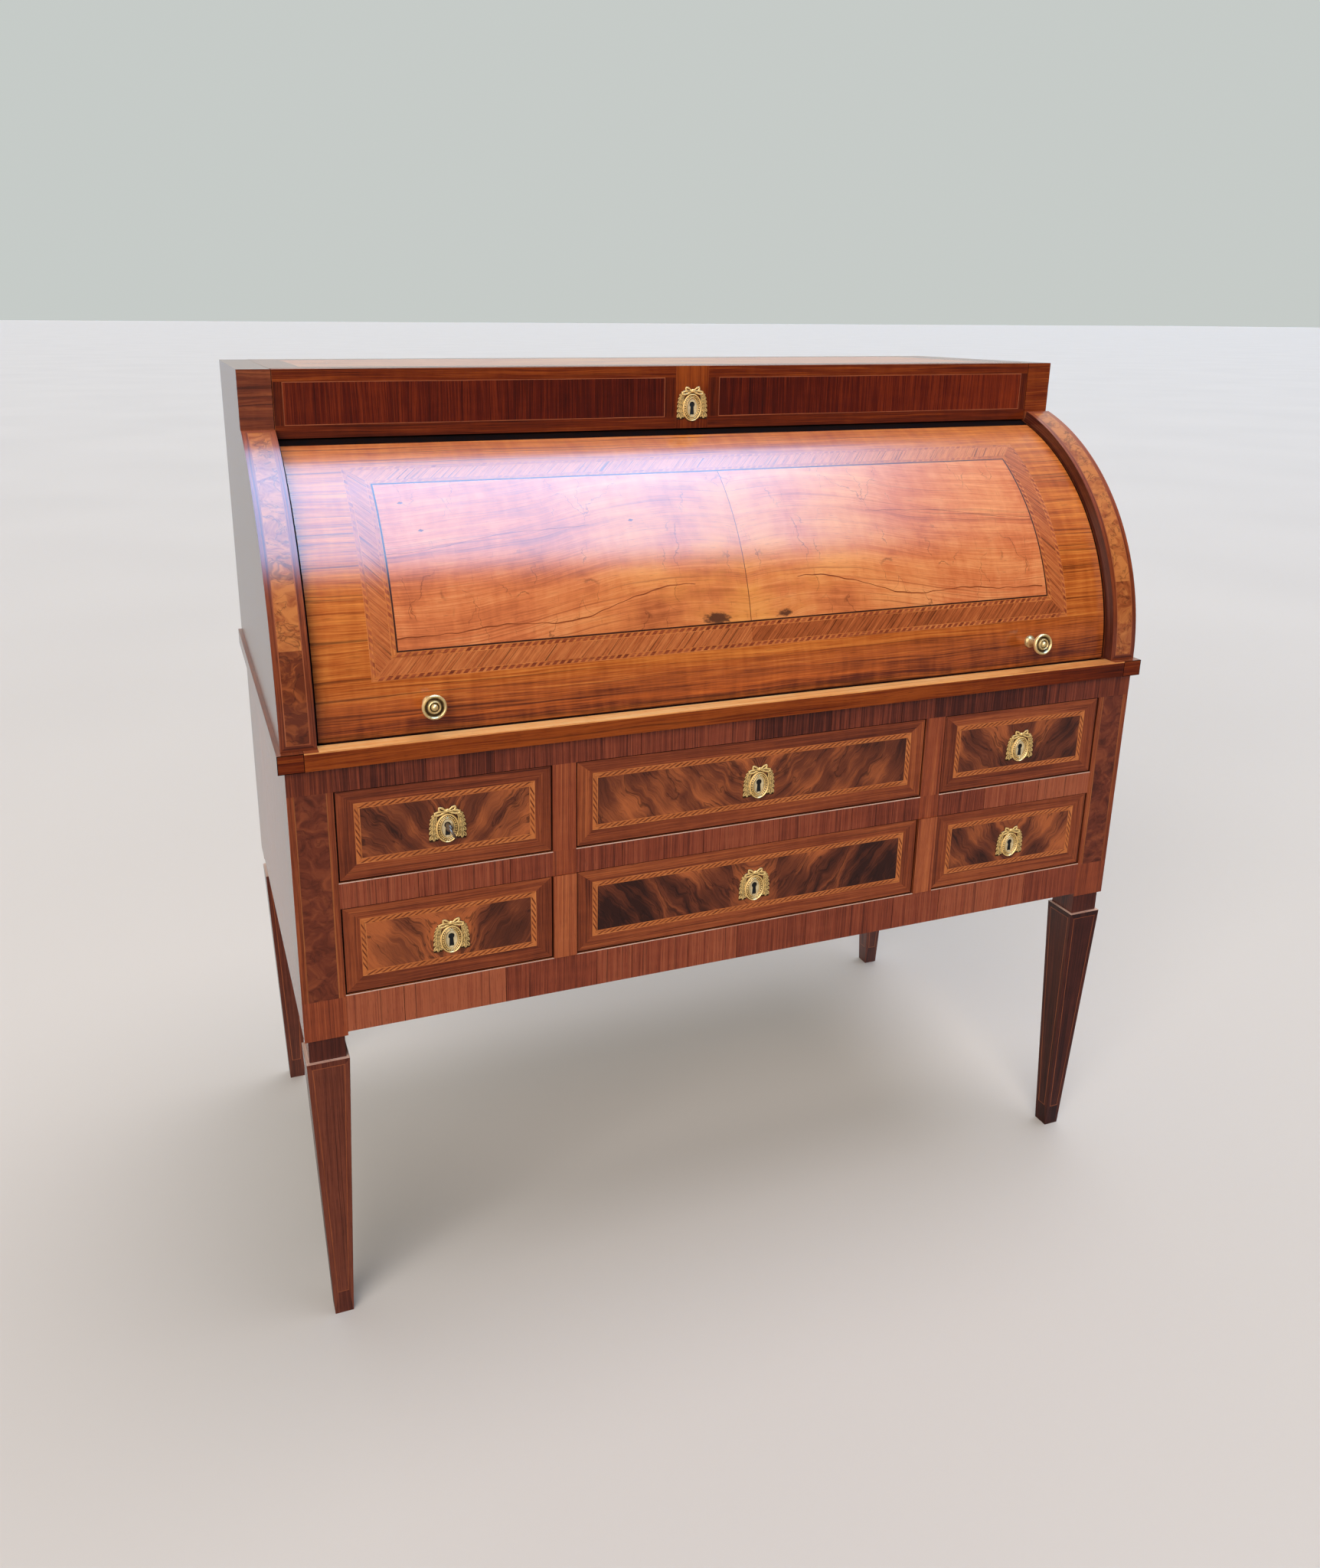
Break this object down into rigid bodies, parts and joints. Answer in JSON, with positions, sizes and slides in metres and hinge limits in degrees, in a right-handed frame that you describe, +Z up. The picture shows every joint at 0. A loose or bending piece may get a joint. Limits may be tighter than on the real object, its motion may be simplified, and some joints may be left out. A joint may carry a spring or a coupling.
{
  "type": "cylinder desk",
  "caption": "Writing desk with a quarter-round front that rolls up over a pull-out slide, on tapered legs, with locking belt drawers and a shallow frieze drawer.",
  "frame": {"origin": "on the floor, under the middle of the box round the whole desk with its key", "axes": "+Z up, the front with its drawers faces -Y, +X to the right of someone facing the front"},
  "size_m": [1.196, 0.622, 1.183],
  "materials": {
    "walnut": "french-polished veneer",
    "oak": "plain oiled wood",
    "gilt_brass": "worn gilt",
    "iron": "dark forged"
  },
  "bodies": {
    "carcass": {"front_left_leg": "walnut", "front_right_leg": "walnut", "back_left_leg": "walnut", "back_right_leg": "walnut", "lower_left_side": "walnut", "lower_right_side": "walnut", "front_top_rail": "walnut", "front_middle_rail": "walnut", "front_bottom_rail": "walnut", "drawer_dividers": "walnut", "left_waist_moulding": "walnut", "right_waist_moulding": "walnut", "upper_left_side": "walnut", "upper_right_side": "walnut", "top_board": "walnut", "lower_back_panel": "oak", "carcass_top": "oak", "middle_dust_board": "oak", "bottom_board": "oak", "drawer_partitions": "oak", "upper_back_panel": "oak", "frieze_dust_board": "oak", "interior_nest": "oak", "pivot_pins": "iron"},
    "cylinder": {"cylinder_shell": "walnut", "cylinder_arms": "iron", "left_cylinder_knob": "gilt_brass", "right_cylinder_knob": "gilt_brass"},
    "slide": {"writing_slide": "walnut", "slide_front_edge": "walnut"},
    "upper_left_drawer": {"upper_left_drawer_front": "walnut", "upper_left_drawer_box": "oak", "upper_left_drawer_lock": "iron", "upper_left_drawer_escutcheon": "gilt_brass"},
    "upper_middle_drawer": {"upper_middle_drawer_front": "walnut", "upper_middle_drawer_box": "oak", "upper_middle_drawer_lock": "iron", "upper_middle_drawer_escutcheon": "gilt_brass"},
    "upper_right_drawer": {"upper_right_drawer_front": "walnut", "upper_right_drawer_box": "oak", "upper_right_drawer_lock": "iron", "upper_right_drawer_escutcheon": "gilt_brass"},
    "lower_left_drawer": {"lower_left_drawer_front": "walnut", "lower_left_drawer_box": "oak", "lower_left_drawer_lock": "iron", "lower_left_drawer_escutcheon": "gilt_brass"},
    "lower_middle_drawer": {"lower_middle_drawer_front": "walnut", "lower_middle_drawer_box": "oak", "lower_middle_drawer_lock": "iron", "lower_middle_drawer_escutcheon": "gilt_brass"},
    "lower_right_drawer": {"lower_right_drawer_front": "walnut", "lower_right_drawer_box": "oak", "lower_right_drawer_lock": "iron", "lower_right_drawer_escutcheon": "gilt_brass"},
    "frieze_drawer": {"frieze_drawer_front": "walnut", "frieze_drawer_box": "oak", "frieze_drawer_lock": "iron", "frieze_drawer_escutcheon": "gilt_brass"},
    "key": {"drawer_key": "iron"},
    "bolt": {"lock_bolt": "iron"}
  },
  "joints": [
    {"name": "cylinder_roll", "type": "hinge", "parent": "carcass", "child": "cylinder", "pos_m": [0, 0.07299, 0.782], "axis": [-1, 0, 0], "range_deg": [0, 50]},
    {"name": "slide_pull", "type": "slide", "parent": "carcass", "child": "slide", "axis": [0, -1, 0], "range_m": [0, 0.22]},
    {"name": "upper_left_drawer_pull", "type": "slide", "parent": "carcass", "child": "upper_left_drawer", "axis": [0, -1, 0], "range_m": [0, 0.34]},
    {"name": "upper_middle_drawer_pull", "type": "slide", "parent": "carcass", "child": "upper_middle_drawer", "axis": [0, -1, 0], "range_m": [0, 0.34]},
    {"name": "upper_right_drawer_pull", "type": "slide", "parent": "carcass", "child": "upper_right_drawer", "axis": [0, -1, 0], "range_m": [0, 0.34]},
    {"name": "lower_left_drawer_pull", "type": "slide", "parent": "carcass", "child": "lower_left_drawer", "axis": [0, -1, 0], "range_m": [0, 0.34]},
    {"name": "lower_middle_drawer_pull", "type": "slide", "parent": "carcass", "child": "lower_middle_drawer", "axis": [0, -1, 0], "range_m": [0, 0.34]},
    {"name": "lower_right_drawer_pull", "type": "slide", "parent": "carcass", "child": "lower_right_drawer", "axis": [0, -1, 0], "range_m": [0, 0.34]},
    {"name": "frieze_drawer_pull", "type": "slide", "parent": "carcass", "child": "frieze_drawer", "axis": [0, -1, 0], "range_m": [0, 0.2]},
    {"name": "key_turn", "type": "hinge", "parent": "upper_left_drawer", "child": "key", "pos_m": [-0.40925, -0.279, 0.671], "axis": [0, -1, 0], "range_deg": [0, 150]},
    {"name": "bolt_throw", "type": "slide", "parent": "upper_left_drawer", "child": "bolt", "axis": [0, 0, 1], "range_m": [0, 0.007]}
  ],
  "couplings": [
    {"joint": "bolt_throw", "follows": "key_turn", "m_per_rad": 0.002673}
  ]
}
